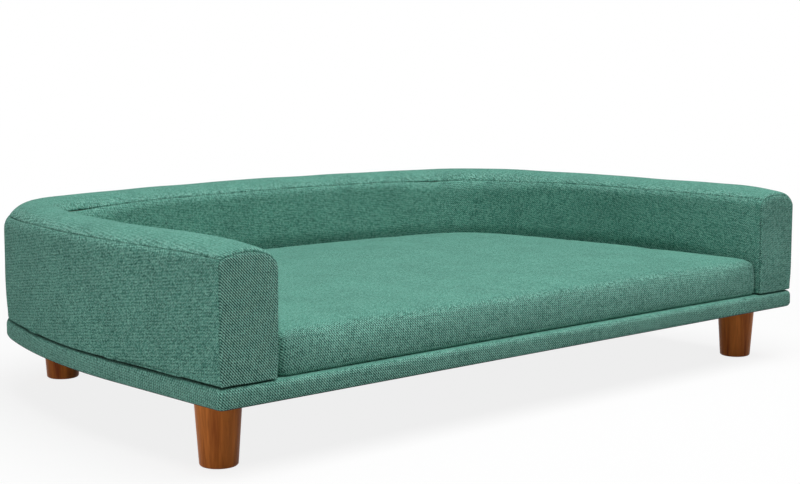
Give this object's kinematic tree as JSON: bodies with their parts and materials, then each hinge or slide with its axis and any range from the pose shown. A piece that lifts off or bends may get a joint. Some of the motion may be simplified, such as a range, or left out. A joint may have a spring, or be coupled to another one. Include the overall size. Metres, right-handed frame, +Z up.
{
  "type": "dog sofa bed",
  "caption": "Low dog sofa bed: a padded U-shaped wall on a platform with tapered wooden legs, and a loose zipped seat cushion inside.",
  "frame": {"origin": "on the floor under the middle of the platform", "axes": "+X along the width, to the right as seen from the open front; -Y out of the open front; +Z up"},
  "size_m": [0.986, 0.6429, 0.2389],
  "materials": {
    "green_fabric": "thick heathered twill upholstery",
    "stained_wood": "satin brown stain",
    "plywood": "raw board",
    "hardboard": "raw hardboard",
    "foam": "open-cell foam",
    "wadding": "white polyester wadding",
    "black_nonwoven": "thin nonwoven cloth",
    "zinc_steel": "bright zinc plate",
    "zip_tape": "woven tape",
    "zip_nylon": "moulded nylon",
    "zip_metal": "painted zinc"
  },
  "bodies": {
    "sofa": {"base_cover": "green_fabric", "outer_wall_cover": "green_fabric", "inner_wall_cover": "green_fabric", "top_wall_cover": "green_fabric", "left_end_cover": "green_fabric", "right_end_cover": "green_fabric", "front_left_leg": "stained_wood", "front_right_leg": "stained_wood", "rear_left_leg": "stained_wood", "rear_right_leg": "stained_wood", "base_board": "plywood", "wall_bottom_plate": "plywood", "wall_top_plate": "plywood", "left_end_board": "plywood", "right_end_board": "plywood", "left_front_post": "plywood", "left_middle_post": "plywood", "left_corner_post": "plywood", "back_left_post": "plywood", "back_middle_post": "plywood", "back_right_post": "plywood", "right_corner_post": "plywood", "right_middle_post": "plywood", "right_front_post": "plywood", "outer_skin_board": "hardboard", "inner_skin_board": "hardboard", "outer_wall_foam": "foam", "inner_wall_foam": "foam", "top_wall_foam": "foam", "left_end_foam": "foam", "right_end_foam": "foam", "base_wadding": "wadding", "dust_cover": "black_nonwoven", "leg_tee_nuts": "zinc_steel", "leg_hanger_bolts": "zinc_steel", "wall_bolts": "zinc_steel", "wall_washers": "zinc_steel", "wall_tee_nuts": "zinc_steel", "frame_screws": "zinc_steel", "cover_staples": "zinc_steel"},
    "cushion": {"cushion_foam": "foam", "cushion_top_cover": "green_fabric", "cushion_border": "green_fabric", "cushion_bottom_cover": "green_fabric", "upper_zip_tape": "zip_tape", "lower_zip_tape": "zip_tape", "zip_teeth": "zip_nylon"},
    "slider": {"zip_slider": "zip_metal"},
    "pull": {"zip_pull": "zip_metal"}
  },
  "joints": [
    {"name": "cushion_lift", "type": "slide", "parent": "sofa", "child": "cushion", "axis": [0, 0, 1], "range_m": [0, 0.25]},
    {"name": "zip_slide", "type": "hinge", "parent": "cushion", "child": "slider", "pos_m": [0, -1.18425, 0.1195], "axis": [0, 0, -1], "range_deg": [0, 20.03]},
    {"name": "zip_pull_swing", "type": "hinge", "parent": "slider", "child": "pull", "pos_m": [-0.24789, 0.21918, 0.1195], "axis": [0.9848, 0.1739, 0], "range_deg": [0, 7]}
  ]
}
